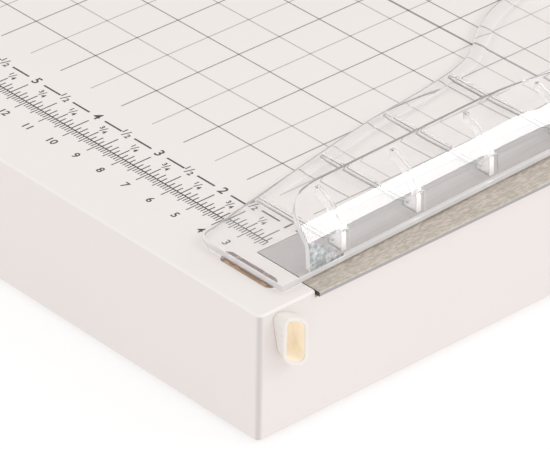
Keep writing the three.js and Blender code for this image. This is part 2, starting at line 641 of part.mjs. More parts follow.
function addFence() {
  add('paper_fence', paperFence(), WHITE);
  FENCE_SCREWS_X.forEach((x, i) => {
    add(`fence_screw_${i + 1}`, screwAlongZ(x, 306, 1.6, 3, 6, -3.1, -5.2), STEEL);
  });
}

function addPivot() {
  add('pivot_bracket', pivotBracket(), STEEL);
  BRACKET_SCREWS.forEach(([x, y], i) => {
    add(`bracket_screw_${i + 1}`, screwAlongZ(x, y, 2.1, 4, -12, 3 + SEAT, 5.3), STEEL);
  });
  add('pivot_bolt', pivotBolt(), STEEL);
  add('pivot_washer', washer(8.5, [13.6, 14.7]), STEEL);
  add('friction_washer', washer(9, [1.2, 2.6]), GREY);
  add('pivot_nut', pivotNut(), STEEL);
}

function addArm() {
  add('blade_arm', bladeArm(), WHITE, arm);
  add('moving_blade', movingBlade(), STEEL, arm);
  BLADE_SCREWS.forEach(([y, z], i) => {
    const seat = ARM.outer + SEAT;
    add(`blade_screw_${i + 1}`, screwAlongX(y, z, 2, 4, BLADE.inner + 0.3, seat, seat + 2.2), STEEL, arm);
  });
  add('handle_grip', handleGrip(), CREAM, arm);
  GRIP_SCREWS_Y.forEach((y, i) => {
    add(`grip_screw_${i + 1}`, screwAlongX(y, 1.5, 1.8, 3.4, 3, 19.3, 21.2), STEEL, arm);
  });
  add('lock_bolt', lockBolt(), CREAM, arm);
}

addBase();
addBed();
addGuard();
add('lock_socket', lockSocket(), CREAM);
addFence();
addPivot();
addArm();

const bounds = new THREE.Box3().setFromObject(cutter, true);
const centre = bounds.getCenter(new THREE.Vector3());
cutter.position.set(-centre.x, -centre.y, -bounds.min.z);

export default cutter;
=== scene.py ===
import math

import bmesh
import bpy
from mathutils import Matrix, Vector


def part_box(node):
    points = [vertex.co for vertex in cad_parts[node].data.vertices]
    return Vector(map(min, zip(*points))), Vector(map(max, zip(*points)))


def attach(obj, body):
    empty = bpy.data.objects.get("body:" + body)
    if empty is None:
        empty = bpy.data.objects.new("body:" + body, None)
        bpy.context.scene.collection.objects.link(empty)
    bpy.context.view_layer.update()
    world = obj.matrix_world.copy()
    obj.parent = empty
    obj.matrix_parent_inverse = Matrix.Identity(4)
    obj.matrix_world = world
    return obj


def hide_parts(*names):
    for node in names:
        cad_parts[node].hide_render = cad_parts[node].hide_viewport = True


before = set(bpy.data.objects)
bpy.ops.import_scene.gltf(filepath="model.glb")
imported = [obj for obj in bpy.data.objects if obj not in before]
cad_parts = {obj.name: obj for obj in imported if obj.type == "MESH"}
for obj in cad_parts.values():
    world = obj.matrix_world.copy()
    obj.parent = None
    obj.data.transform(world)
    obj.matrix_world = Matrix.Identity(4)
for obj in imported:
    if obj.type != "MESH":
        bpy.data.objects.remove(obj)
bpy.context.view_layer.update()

# Sizes below are in millimetres in the deck frame: X = 0 at the zero of the printed ruler and
# growing towards the blade, Y growing from the user to the pivot, Z = 0 on the deck.
MM = 0.001
INCH = 25.4

BED_EDGE = 2.5              # how far the bed blade reaches past the ruler's zero
BED_FRONT = 20.6            # how far the bed blade starts in front of the ruler's zero
bed_low, bed_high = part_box("bed_blade")
ZERO = Vector((bed_high.x - BED_EDGE * MM, bed_low.y + BED_FRONT * MM, bed_high.z))
TO_ROW = Matrix.Translation(ZERO) @ Matrix.Scale(MM, 4)
TO_DECK = TO_ROW.inverted()


def deck_box(node):
    """Lowest and highest corner of a CAD node in the deck frame, in millimetres."""
    low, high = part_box(node)
    return TO_DECK @ low, TO_DECK @ high


# ---------------------------------------------------------------- material helpers
SHADED_END = (0.09, 0.075, 0.065)       # painted shade for the front ends of the steel parts, which stand in shade
GROUND_FROM, GROUND_BLEND = -6.5, 1.5   # deck X where the bed's coarse grinding starts, and its blend


class Look:
    """A Principled material under construction, with short calls for its usual nodes."""

    def __init__(self, name, **values):
        self.material = bpy.data.materials.new(name)
        self.material.use_nodes = True
        self.nodes = self.material.node_tree.nodes
        self.links = self.material.node_tree.links
        self.shader = self.nodes["Principled BSDF"]
        self.set(self.shader, **values)

    def set(self, node, **values):
        for key, value in values.items():
            name = key.replace("_", " ")
            socket = next(s for s in node.inputs if s.name.lower() == name.lower())
            socket.default_value = value

    def link(self, source, target):
        self.links.new(source, target)

    def place(self, scale=(1, 1, 1)):
        """Object coordinates in millimetres, stretched by scale."""
        coordinates = self.nodes.new("ShaderNodeTexCoord")
        mapping = self.nodes.new("ShaderNodeMapping")
        mapping.inputs["Scale"].default_value = [s / MM for s in scale]
        self.link(coordinates.outputs["Object"], mapping.inputs["Vector"])
        return mapping.outputs["Vector"]

    def noise(self, size, detail=3.0, stretch=(1, 1, 1)):
        """Noise whose spots are about size millimetres across."""
        node = self.nodes.new("ShaderNodeTexNoise")
        self.set(node, scale=1 / size, detail=detail)
        self.link(self.place(stretch), node.inputs["Vector"])
        return node.outputs["Fac"]

    def ramp(self, factor, low, high, start=0.3, end=0.7):
        node = self.nodes.new("ShaderNodeValToRGB")
        first, last = node.color_ramp.elements
        first.position, first.color = start, (*low, 1)
        last.position, last.color = end, (*high, 1)
        self.link(factor, node.inputs["Fac"])
        return node.outputs["Color"]

    def spread(self, factor, low, high):
        node = self.nodes.new("ShaderNodeMapRange")
        self.set(node, from_min=0.3, from_max=0.7, to_min=low, to_max=high)
        self.link(factor, node.inputs["Value"])
        return node.outputs["Result"]

    def mix(self, factor, first, second):
        node = self.nodes.new("ShaderNodeMix")
        node.data_type = "RGBA"
        self.link(factor, node.inputs["Factor"])
        for socket, value in ((node.inputs[6], first), (node.inputs[7], second)):
            if isinstance(value, tuple):
                socket.default_value = (*value, 1)
            else:
                self.link(value, socket)
        return node.outputs[2]

    def facing(self, axis, start, end):
        """1 where the surface faces along an axis, 0 where it turns away from it."""
        geometry = self.nodes.new("ShaderNodeNewGeometry")
        split = self.nodes.new("ShaderNodeSeparateXYZ")
        self.link(geometry.outputs["Normal"], split.inputs["Vector"])
        node = self.nodes.new("ShaderNodeMapRange")
        self.set(node, from_min=start, from_max=end)
        self.link(split.outputs[axis], node.inputs["Value"])
        return node.outputs["Result"]

    def beyond(self, x, blend):
        """0 before a deck X, 1 beyond it, over a blend in millimetres."""
        coordinates = self.nodes.new("ShaderNodeTexCoord")
        split = self.nodes.new("ShaderNodeSeparateXYZ")
        self.link(coordinates.outputs["Object"], split.inputs["Vector"])
        node = self.nodes.new("ShaderNodeMapRange")
        self.set(node, from_min=ZERO.x + (x - blend / 2) * MM, from_max=ZERO.x + (x + blend / 2) * MM)
        self.link(split.outputs["X"], node.inputs["Value"])
        return node.outputs["Result"]

    def product(self, first, second):
        node = self.nodes.new("ShaderNodeMath")
        node.operation = "MULTIPLY"
        self.link(first, node.inputs[0])
        self.link(second, node.inputs[1])
        return node.outputs["Value"]

    def bump(self, *layers):
        """Bump layers as (height output, depth in millimetres)."""
        normal = None
        for height, depth in layers:
            node = self.nodes.new("ShaderNodeBump")
            self.set(node, strength=1.0, distance=depth * MM)
            self.link(height, node.inputs["Height"])
            if normal is not None:
                self.link(normal, node.inputs["Normal"])
            normal = node.outputs["Normal"]
        self.link(normal, self.shader.inputs["Normal"])

    def colour(self, output):
        self.link(output, self.shader.inputs["Base Color"])

    def roughness(self, output):
        self.link(output, self.shader.inputs["Roughness"])


def moulded(name, low, high, rough, grain=0.012, glow=0.0):
    """Moulded plastic: slow shade drift, fine mould grain, uneven gloss, and a painted glow for light let
    through thin walls.
    """
    look = Look(name, ior=1.47, emission_color=(*high, 1), emission_strength=glow)
    look.colour(look.ramp(look.noise(60), low, high))
    return moulded_surface(look, rough, grain)


def moulded_surface(look, rough, grain):
    """Uneven gloss over a fine grain and slight sinks."""
    look.roughness(look.spread(look.noise(3), rough - 0.05, rough + 0.05))
    look.bump((look.noise(0.5, 2), grain), (look.noise(7, 1), 0.02))
    return look.material


def turned_metal(name, low, high, rough):
    """Plated or turned metal: fine scratches and blotchy plating."""
    look = Look(name, metallic=1.0)
    look.colour(look.ramp(look.noise(1.6), low, high))
    look.roughness(look.spread(look.noise(0.6), rough - 0.06, rough + 0.08))
    look.bump((look.noise(0.25, 2), 0.01))
    return look.material


def brushed_steel(name, low, high, side, rough):
    """Steel brushed along Y, with darker ground edges and painted shade on its front ends."""
    look = Look(name, metallic=1.0)
    streaks = look.noise(0.35, 4, (1, 0.02, 1))
    cloud = look.noise(9, 3, (1, 0.25, 1))
    top = look.mix(look.spread(cloud, 0, 1), look.ramp(streaks, low, high), high)
    edge = look.facing("X", 0.5, 0.95)
    front = look.facing("Y", -0.6, -0.95)
    # painted shade on the faces that point to the front
    look.colour(look.mix(front, look.mix(edge, top, side), SHADED_END))
    look.roughness(look.spread(streaks, rough - 0.06, rough + 0.1))
    look.bump((streaks, 0.006))
    return look.material


def bed_steel(name):
    """Bed bar: smooth and mauve-grey inside, coarsely ground along the cutting edge, dull on its sides,
    painted shade on its front.
    """
    look = Look(name, metallic=0.55)
    smooth = look.ramp(look.noise(14, 3, (1, 0.3, 1)), (0.52, 0.485, 0.48), (0.58, 0.54, 0.53))
    speckle = look.noise(0.45, 3, (1, 0.25, 1))
    ground = look.ramp(speckle, (0.49, 0.435, 0.37), (0.71, 0.645, 0.575), 0.36, 0.64)
    top = look.mix(look.beyond(GROUND_FROM, GROUND_BLEND), smooth, ground)
    side = look.facing("X", 0.75, 0.9)
    front = look.facing("Y", -0.6, -0.95)
    # painted shade on the faces that point to the front
    look.colour(look.mix(front, look.mix(side, top, (0.46, 0.44, 0.45)), SHADED_END))
    look.roughness(look.mix(side, look.spread(speckle, 0.5, 0.7), (0.7, 0.7, 0.7)))
    look.bump((speckle, 0.008))
    return look.material


def clear_plastic(name):
    """Clear moulded plastic with the faint ripple of an injection moulding."""
    look = Look(name, base_color=(1, 1, 1, 1), ior=1.49, transmission_weight=1.0)
    look.roughness(look.spread(look.noise(12, 2), 0.0, 0.03))
    look.bump((look.noise(9, 1), 0.03))
    return look.material


def frosted_edge(name, glow, clear):
    """The fine draft finish on the narrow sides of the clear guard, which scatters the light, with a
    painted glow.
    """
    look = Look(name, ior=1.49, transmission_weight=clear, emission_color=(1, 0.97, 0.97, 1),
                emission_strength=glow)
    look.colour(look.ramp(look.noise(6), (0.94, 0.92, 0.92), (0.98, 0.96, 0.96)))
    look.roughness(look.spread(look.noise(8), 0.14, 0.24))
    look.bump((look.noise(7, 1), 0.01))
    return look.material


def shaded_edge(name):
    """Painted shade with a faint painted glow: the brownish line of light led along the shield's free
    edge, and the legs deep in the slot.
    """
    look = Look(name, ior=1.49, transmission_weight=0.3, emission_color=(0.5, 0.43, 0.41, 1),
                emission_strength=0.2)
    look.colour(look.ramp(look.noise(6), (0.42, 0.36, 0.34), (0.50, 0.44, 0.42)))
    look.roughness(look.spread(look.noise(8), 0.3, 0.4))
    return look.material


def crackled(name):
    """The crystal-like pattern at an injection gate: cloudy cells between clear ones."""
    look = Look(name, ior=1.49, transmission_weight=0.45)
    cells = look.noise(1.5, 2)
    look.colour(look.ramp(cells, (0.42, 0.47, 0.49), (0.82, 0.85, 0.86), 0.42, 0.58))
    look.roughness(look.spread(cells, 0.1, 0.3))
    look.bump((cells, 0.2))
    return look.material


def ink(name, shade, paper, cover):
    """Screen-printed ink, slightly thin in places."""
    look = Look(name, ior=1.45)
    thin = tuple(s + (p - s) * (1 - cover) for s, p in zip(shade, paper))
    look.colour(look.ramp(look.noise(0.4, 2), shade, thin))
    look.roughness(look.spread(look.noise(0.8), 0.38, 0.5))
    return look.material


def rubber(name):
    """Dull black rubber."""
    look = Look(name, ior=1.5)
    look.colour(look.ramp(look.noise(2), (0.02, 0.02, 0.02), (0.035, 0.034, 0.033)))
    look.roughness(look.spread(look.noise(0.8), 0.75, 0.9))
    look.bump((look.noise(0.3, 2), 0.03))
    return look.material


def housing_plastic(name):
    """Moulded housing: a lighter, less pink top, painted highlights along the upper edges and painted
    shade on the upright corners.
    """
    look = Look(name, ior=1.47)
    sides = look.ramp(look.noise(60), (0.83, 0.768, 0.742), (0.845, 0.782, 0.755))
    # painted shade on the upright corners, between the front and the side
    upright = look.facing("X", 0.15, 0.6)
    forward = look.facing("Y", -0.15, -0.6)
    corner = look.product(upright, forward)
    sides = look.mix(corner, sides, (0.68, 0.62, 0.595))
    # painted highlight along the rounded upper edges
    edge_highlighted = look.mix(look.facing("Z", 0.15, 0.4), sides, (0.93, 0.89, 0.86))
    # a lighter, less pink colour on the upward faces
    look.colour(look.mix(look.facing("Z", 0.97, 0.999), edge_highlighted, DECK_SHADE))
    return moulded_surface(look, 0.34, 0.012)


# colour of the deck's top, lighter and less pink than the sides, also under the ink
DECK_SHADE = (0.885, 0.829, 0.799)
HOUSING = housing_plastic("housing_plastic")
COVER = moulded("cover_plastic", (0.60, 0.58, 0.56), (0.64, 0.62, 0.60), 0.55, 0.02)
SOCKET = moulded("socket_plastic", (0.86, 0.81, 0.77), (0.88, 0.83, 0.79), 0.32)
# painted glow inside the lock socket, for light let through and bounced round its cream walls
SOCKET_INSIDE = moulded("socket_inside", (0.90, 0.82, 0.68), (0.93, 0.86, 0.75), 0.42, glow=0.13)
FENCE = moulded("fence_plastic", (0.84, 0.80, 0.77), (0.87, 0.83, 0.80), 0.36)
ARM_PAINT = moulded("arm_paint", (0.84, 0.81, 0.78), (0.87, 0.84, 0.81), 0.3, 0.02)
GRIP = moulded("grip_plastic", (0.80, 0.75, 0.67), (0.84, 0.79, 0.71), 0.48, 0.05)
NYLON = moulded("washer_nylon", (0.72, 0.69, 0.62), (0.76, 0.73, 0.66), 0.5)
BED_STEEL = bed_steel("bed_steel")
BLADE_STEEL = brushed_steel("blade_steel", (0.56, 0.54, 0.52), (0.68, 0.66, 0.64), (0.62, 0.6, 0.58), 0.28)
PLATED = turned_metal("screw_steel", (0.62, 0.61, 0.58), (0.74, 0.73, 0.70), 0.3)
BRACKET = turned_metal("bracket_plate", (0.52, 0.52, 0.51), (0.62, 0.61, 0.60), 0.38)
BRONZE = turned_metal("retainer_bronze", (0.52, 0.37, 0.26), (0.64, 0.48, 0.36), 0.42)
CLEAR = clear_plastic("clear_plastic")
CRACKLED = crackled("clear_gate")
# painted shade, with a faint painted glow, for the shield's free edge and the legs in the slot
EDGE_SHADE = shaded_edge("shaded_edge")
# the frosted finishes carry a painted glow: faint on narrow sides and rib sides, strong on the ribs'
# upright ends
FROSTED = frosted_edge("clear_edge", 0.09, 0.35)
RIB_END = frosted_edge("clear_rib_end", 0.3, 0.3)
RIB_SIDE = frosted_edge("clear_rib_side", 0.07, 0.7)
GUARD_LOOKS = [CLEAR, FROSTED, CRACKLED, EDGE_SHADE, RIB_END, RIB_SIDE]
RUBBER = rubber("foot_rubber")
INK = ink("ruler_ink", (0.03, 0.026, 0.026), DECK_SHADE, 0.92)
GRID_INK = ink("grid_ink", (0.27, 0.235, 0.22), DECK_SHADE, 0.85)
FAINT_INK = ink("faint_grid_ink", (0.5, 0.45, 0.43), DECK_SHADE, 0.85)


# ---------------------------------------------------------------- mesh helpers
LARGE_FACE_WEIGHT = 90
SHARPEST_LEAN = 0.35        # limits how far an inset moves a sharp corner
WELD = 0.0005               # points closer than this are one


def add_piece(name, mesh, materials, body, slot, *nodes):
    """A finished piece: mesh in deck millimetres, its materials, body and replaced nodes; the slot is not
    used.
    """
    mesh.transform(TO_ROW)
    piece = bpy.data.objects.new(name, mesh)
    bpy.context.scene.collection.objects.link(piece)
    if not mesh.materials:
        for material in materials:
            mesh.materials.append(material)
    flat_faces_flat(piece)
    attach(piece, body)
    if nodes:
        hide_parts(*nodes)
    return piece


def flat_faces_flat(piece):
    """Lets the large faces set the shading, so that they stay flat beside small rounded edges."""
    shading = piece.modifiers.new("shading", "WEIGHTED_NORMAL")
    shading.weight = LARGE_FACE_WEIGHT
    shading.keep_sharp = True


def smooth_by_angle(mesh, degrees=50):
    """Smooth shading with creases where faces meet at more than the angle."""
    mesh.polygons.foreach_set("use_smooth", [True] * len(mesh.polygons))
    mesh.set_sharp_from_angle(angle=math.radians(degrees))


def to_mesh(bm, name):
    """Turns a bmesh into a mesh and frees it."""
    bmesh.ops.recalc_face_normals(bm, faces=bm.faces)
    mesh = bpy.data.meshes.new(name)
    bm.to_mesh(mesh)
    bm.free()
    return mesh


def rounded_rectangle(low, high, radius, steps=10):
    """Outline of a rectangle with round corners, counter-clockwise, from two corner points."""
    (x0, y0), (x1, y1) = low, high
    corners = [(x1 - radius, y0 + radius, -90), (x1 - radius, y1 - radius, 0),
               (x0 + radius, y1 - radius, 90), (x0 + radius, y0 + radius, 180)]
    points = []
    for cx, cy, start in corners:
        for i in range(steps + 1):
            angle = math.radians(start + 90 * i / steps)
            points.append((cx + radius * math.cos(angle), cy + radius * math.sin(angle)))
    return points


def oval(cx, cy, width, height, steps=12):
    """Outline with fully round ends."""
    radius = min(width, height) / 2 - 0.001
    low = (cx - width / 2, cy - height / 2)
    high = (cx + width / 2, cy + height / 2)
    return rounded_rectangle(low, high, radius, steps)


def inset(outline, distance):
    """The outline moved inwards along its own normals."""
    count = len(outline)
    moved = []
    for i, (x, y) in enumerate(outline):
        before = Vector(outline[i - 1])
        here = Vector((x, y))
        after = Vector(outline[(i + 1) % count])
        first = (here - before).normalized()
        second = (after - here).normalized()
        normal = Vector((-(first + second).y, (first + second).x)).normalized()
        lean = max(SHARPEST_LEAN, normal.dot(Vector((-second.y, second.x))))
        moved.append((x + normal.x * distance / lean, y + normal.y * distance / lean))
    return moved


AXES = {
    "z": lambda a, b, level: (a, b, level),
    "x": lambda a, b, level: (level, a, b),
    "y": lambda a, b, level: (b, level, a),
}


def skin(rings):
    """A capped solid through rings of equal point count."""
    bm = bmesh.new()
    rows = [[bm.verts.new(point) for point in ring] for ring in rings]
    for lower, upper in zip(rows, rows[1:]):
        count = len(lower)
        for i in range(count):
            j = (i + 1) % count
            bm.faces.new((lower[i], lower[j], upper[j], upper[i]))
    bm.faces.new(rows[0])
    bm.faces.new(rows[-1])
    return bm


def loft(rings, axis="z"):
    """A capped solid through outlines given as (outline, level) along an axis."""
    return skin([[AXES[axis](a, b, level) for a, b in outline] for outline, level in rings])


def fillet(radius, steps):
    """(inset, drop) pairs of a quarter round, from the side up to the face."""
    quarter = [math.pi / 2 * i / steps for i in range(steps + 1)]
    return [(radius * (1 - math.cos(a)), radius * (1 - math.sin(a))) for a in quarter]


def soft_prism(outline, low, high, edge=0.3, steps=2, axis="z"):
    """A prism with rounded edges round both faces."""
    turn = fillet(edge, steps)
    bottom = [(inset(outline, i), low + d) for i, d in reversed(turn)]
    top = [(inset(outline, i), high - d) for i, d in turn]
    return loft(bottom + top, axis)


def prism(outline, low, high, axis="z"):
    return loft([(outline, low), (outline, high)], axis)


def block(x, y, z, edge=0.0):
    """A box from its spans along the axes."""
    outline = [(x[0], y[0]), (x[1], y[0]), (x[1], y[1]), (x[0], y[1])]
    return soft_prism(outline, *z, edge) if edge else prism(outline, *z)


def round_outline(cx, cy, radius, sides):
    turns = [math.tau * i / sides for i in range(sides)]
    return [(cx + radius * math.cos(a), cy + radius * math.sin(a)) for a in turns]


def merge(*parts):
    """One bmesh holding every part side by side."""
    whole = bmesh.new()
    for part in parts:
        mesh = to_mesh(part, "part")
        whole.from_mesh(mesh)
        bpy.data.meshes.remove(mesh)
    return whole


def combine(bm, tool, operation):
    """Exact boolean of two bmeshes."""
    objects = []
    for part in (bm, tool):
        mesh = to_mesh(part, "part")
        piece = bpy.data.objects.new("part", mesh)
        bpy.context.scene.collection.objects.link(piece)
        objects.append(piece)
    target, other = objects
    modifier = target.modifiers.new("cut", "BOOLEAN")
    modifier.operation = operation
    modifier.solver = "EXACT"
    modifier.object = other
    graph = bpy.context.evaluated_depsgraph_get()
    result = bmesh.new()
    evaluated = target.evaluated_get(graph)
    mesh = bpy.data.meshes.new_from_object(evaluated)
    result.from_mesh(mesh)
    for piece in objects:
        used = piece.data
        bpy.data.objects.remove(piece)
        bpy.data.meshes.remove(used)
    bpy.data.meshes.remove(mesh)
    return result


def weld(bm):
    """Closes the hairline gaps that a boolean can leave."""
    bmesh.ops.remove_doubles(bm, verts=bm.verts, dist=WELD)
    bmesh.ops.dissolve_degenerate(bm, edges=bm.edges, dist=WELD)
    return bm


def bevel_sharp(bm, width, steps=2, degrees=40):
    """Rounds every edge sharper than the angle."""
    bmesh.ops.recalc_face_normals(bm, faces=bm.faces)
    sharp = [e for e in bm.edges if e.is_manifold and e.calc_face_angle(0) > math.radians(degrees)]
    bmesh.ops.bevel(bm, geom=sharp, offset=width, segments=steps, profile=0.5, affect="EDGES",
                    clamp_overlap=True)
    return bm


# ---------------------------------------------------------------- base housing
EDGE = 0.8                  # radius along the upper edges
CORNER = 1.8                # radius of the upright corners
WALL = 2.6
DECK = 3.0                  # thickness of the deck
SLOT_Y = (-29.5, -25.4)
SLOT_X = (-27.0, -7.0)
SOCKET_Y, SOCKET_Z = -30.9, -9.4
SOCKET_SIZE = (8.7, 14.6)
SOCKET_RADIUS = 3.2
SOCKET_WALL = 1.25
SOCKET_EDGE = 0.5
SOCKET_BORE = 0.85          # the housing's opening stays this far inside the collar's outline
SOCKET_SLANT = 0.45         # how far its upper edge falls per millimetre towards the back
SOCKET_LEAN = 0.17          # how far its root leans backwards per millimetre of depth below the middle
SOCKET_SHIFT = 1.0          # how far its root stands behind its mouth, at the middle
HOUSING_RIGHT = 1.0         # X of the housing's right side
SOCKET_MOUTH = 5.0          # X of the collar's rim
BED_GAP = 0.3               # gap round the bed blade in its recess
BED_DEPTH = 2.1
PIN_HOUSING = 3.6           # radius round the guard's hinge pin
PIN_BORE = 1.7              # radius of the bore that the pin runs in
LUG_WIDTH = 4.5
LUGS = (-53.5, -19.0)       # X where the two hinge lugs start


def socket_outline(margin):
    """The lock socket's outline, drawn smaller all round by a margin."""
    width, height = SOCKET_SIZE[0] / 2 - margin, SOCKET_SIZE[1] / 2 - margin
    low, high = (SOCKET_Y - width, SOCKET_Z - height), (SOCKET_Y + width, SOCKET_Z + height)
    return rounded_rectangle(low, high, SOCKET_RADIUS - margin)


def leaned(bm):
    """Slants a shape drawn round the socket's middle and leans its root towards the back."""
    for vert in bm.verts:
        x, y, z = vert.co
        depth = (SOCKET_MOUTH - x) / (SOCKET_MOUTH - HOUSING_RIGHT)
        vert.co.z = z - SOCKET_SLANT * (y - SOCKET_Y)
        vert.co.y = y + depth * (SOCKET_SHIFT + SOCKET_LEAN * (SOCKET_Z - vert.co.z))
    return bm


def housing_shell():
    """The moulded shell, open below."""
    low, high = deck_box("base_housing")
    outline = rounded_rectangle((low.x, low.y), (high.x, high.y), CORNER, 12)
    cavity = rounded_rectangle((low.x + WALL, low.y + WALL), (high.x - WALL, high.y - WALL), 1.0, 12)
    rings = [(cavity, -DECK), (cavity, low.z), (inset(outline, 0.3), low.z), (outline, low.z + 0.3)]
    rings += [(inset(outline, i), -d) for i, d in fillet(EDGE, 6)]
    return loft(rings)


def hinge_axis():
    """Y and Z of the guard's hinge pin."""
    low, high = deck_box("guard_hinge_pin")
    return (low.y + high.y) / 2, (low.z + high.z) / 2


def hinge_lugs():
    """Two arched lugs that carry the guard's hinge pin."""
    y, z = hinge_axis()
    turns = [math.pi * i / 14 for i in range(15)]
    arch = [(y + PIN_HOUSING * math.cos(a), z + PIN_HOUSING * math.sin(a)) for a in turns]
    outline = [(y - 4.2, -0.5), (y + 4.2, -0.5), *arch]
    return merge(*(soft_prism(outline, x, x + LUG_WIDTH, 0.4, 2, "x") for x in LUGS))


def base_housing():
    """The shell with the bed's recess, the guard's slot, the socket's opening and the hinge lugs."""
    bed_low, bed_high = deck_box("bed_blade")
    recess = block((bed_low.x - BED_GAP, 12), (bed_low.y - BED_GAP, bed_high.y + BED_GAP), (-BED_DEPTH, 5))
    slot_middle = (sum(SLOT_X) / 2, sum(SLOT_Y) / 2)
    slot = prism(oval(*slot_middle, SLOT_X[1] - SLOT_X[0], SLOT_Y[1] - SLOT_Y[0], 8), -10, 5)
    mouth = leaned(loft([(socket_outline(SOCKET_BORE), x) for x in range(-6, 3, 2)], "x"))
    shell = combine(housing_shell(), merge(recess, slot, mouth), "DIFFERENCE")
    mesh = to_mesh(combine(shell, hinge_lugs(), "UNION"), "housing")
    smooth_by_angle(mesh)
    add_piece("housing", mesh, [HOUSING], "base", "housing_plastic", "base_housing")


def bed_blade():
    """A flat steel bar with small bevels along its cutting side."""
    low, high = deck_box("bed_blade")
    upper, lower = 0.25, 0.1
    section = [(low.z, low.x), (low.z, high.x - lower), (low.z + lower, high.x), (high.z - upper, high.x),
               (high.z, high.x - upper), (high.z, low.x)]
    bm = prism(section, low.y, high.y, "y")
    add_piece("bed_steel_bar", to_mesh(bm, "bed"), [BED_STEEL], "base", "bed_steel", "bed_blade")


def lock_socket():
    """A leaning collar with a slanted mouth, its rim rounded on both sides."""
    low, high = deck_box("lock_socket")
    rim = fillet(SOCKET_EDGE, 4)
    profile = [(0.9, low.x), (0.9, 1.05), (0.0, 1.1)]
    profile += [(i, high.x - d) for i, d in rim]
    profile += [(SOCKET_WALL - i, high.x - d) for i, d in reversed(rim)]
    outer_rings = len(profile)
    profile += [(SOCKET_WALL, x) for x in (3, 1.5, 0, low.x + 1.4)]
    bm = leaned(loft([(socket_outline(i), x) for i, x in profile], "x"))
    mesh = to_mesh(bm, "socket")
    mesh.materials.append(SOCKET)
    mesh.materials.append(SOCKET_INSIDE)
    ring = len(socket_outline(0))
    for face in mesh.polygons:
        if min(face.vertices) >= (outer_rings - 1) * ring:
            face.material_index = 1
    smooth_by_angle(mesh)
    add_piece("socket_collar", mesh, [], "base", "socket_plastic", "lock_socket")


# ---------------------------------------------------------------- printed deck
INK_TOP = 0.04
INK_ROOT = -0.03
BASELINE = -15.3            # Y of the ruler's long line, then of its rows of labels
LABEL_ROW = -6.1
QUARTER_ROW = -9.4
CM_ROW = -23.6
INCH_LENGTHS = {16: 6.2, 8: 5.7, 4: 4.2, 2: 3.2, 1: 2.2}    # mark lengths by sixteenths
FONT_CAP = 0.73             # height of a capital as a share of the font's size
DASH = 0.56                 # thickness of the dashes between the labels
INCH_LABEL, HALF_LABEL, QUARTER_LABEL, CM_LABEL = 3.2, 3.5, 2.9, 2.6    # heights of the labels
HALF_SHIFT = 0.8            # the half inch labels stand this far left of their marks
RULER_START = 23.0          # distance of the first mark from the ruler's zero
RULER_END = 251.0
GRID_FRONT = 2.5
GRID_RIGHT = -25.4
GRID_LEFT = -254.0
GRID_BACK = 296.0
ROW_PITCH = 15.1
LINE = 0.36
BOLD_LINE = 0.7
BOLD_ROWS = (97.7, 195.4)


def ink_bar(bm, x, y):
    """A flat printed bar whose root is sunk in the deck."""
    corners = [(x[0], y[0]), (x[1], y[0]), (x[1], y[1]), (x[0], y[1])]
    lower = [bm.verts.new((*c, INK_ROOT)) for c in corners]
    upper = [bm.verts.new((*c, INK_TOP)) for c in corners]
    bm.faces.new(lower[::-1])
    bm.faces.new(upper)
    for i in range(4):
        j = (i + 1) % 4
        bm.faces.new((lower[i], lower[j], upper[j], upper[i]))


def tick(bm, x, length, width=0.34):
    """A mark that starts at the ruler's long line."""
    ends = sorted((BASELINE, BASELINE + length))
    ink_bar(bm, (x - width / 2, x + width / 2), ends)


def inch_marks(bm):
    """Marks at every sixteenth of an inch, longer at the rounder fractions."""
    first = math.ceil(RULER_START / INCH * 16)
    for n in range(first, int(RULER_END / INCH * 16) + 1):
        step = next(s for s in INCH_LENGTHS if n % s == 0)
        tick(bm, -n * INCH / 16, INCH_LENGTHS[step])


def millimetre_marks(bm):
    """Marks at every millimetre, longer at fives and tens."""
    for n in range(math.ceil(RULER_START), int(RULER_END) + 1):
        length = 4.4 if n % 10 == 0 else 3.1 if n % 5 == 0 else 2.1
        tick(bm, -n, -length, 0.3)


def label_dashes(bm):
    """Dashes that join the whole and half inch labels."""
    dash = (LABEL_ROW - DASH / 2, LABEL_ROW + DASH / 2)
    ink_bar(bm, (-22.4, -21.5), dash)
    for n in range(2, 20):
        start = -n * INCH / 2
        clear = (3.2, 2.6) if n % 2 else (2.6, 3.2)
        left, right = start - INCH / 2 + clear[0], start - clear[1]
        if left > -RULER_END:
            ink_bar(bm, (left, right), dash)


def stamp(bm, text, x, y, cap_height, bold=0.0):
    """Printed text centred on a point of the deck."""
    curve = bpy.data.curves.new("text", "FONT")
    curve.body = text
    curve.size = cap_height / FONT_CAP
    curve.align_x = "CENTER"
    curve.align_y = "CENTER"
    curve.extrude = (INK_TOP - INK_ROOT) / 2
    curve.offset = bold
    curve.resolution_u = 3
    source = bpy.data.objects.new("text", curve)
    mesh = bpy.data.meshes.new_from_object(source)
    mesh.transform(Matrix.Translation((x, y, (INK_TOP + INK_ROOT) / 2)))
    bm.from_mesh(mesh)
    bpy.data.objects.remove(source)
    bpy.data.curves.remove(curve)
    bpy.data.meshes.remove(mesh)


def stamp_fraction(bm, upper, lower, x, y, size):
    """Two small digits either side of a slanted stroke."""
    stamp(bm, upper, x - 0.38 * size, y + 0.22 * size, 0.55 * size, 0.05)
    stamp(bm, "/", x, y, 0.9 * size, 0.02)
    stamp(bm, lower, x + 0.38 * size, y - 0.22 * size, 0.55 * size, 0.05)


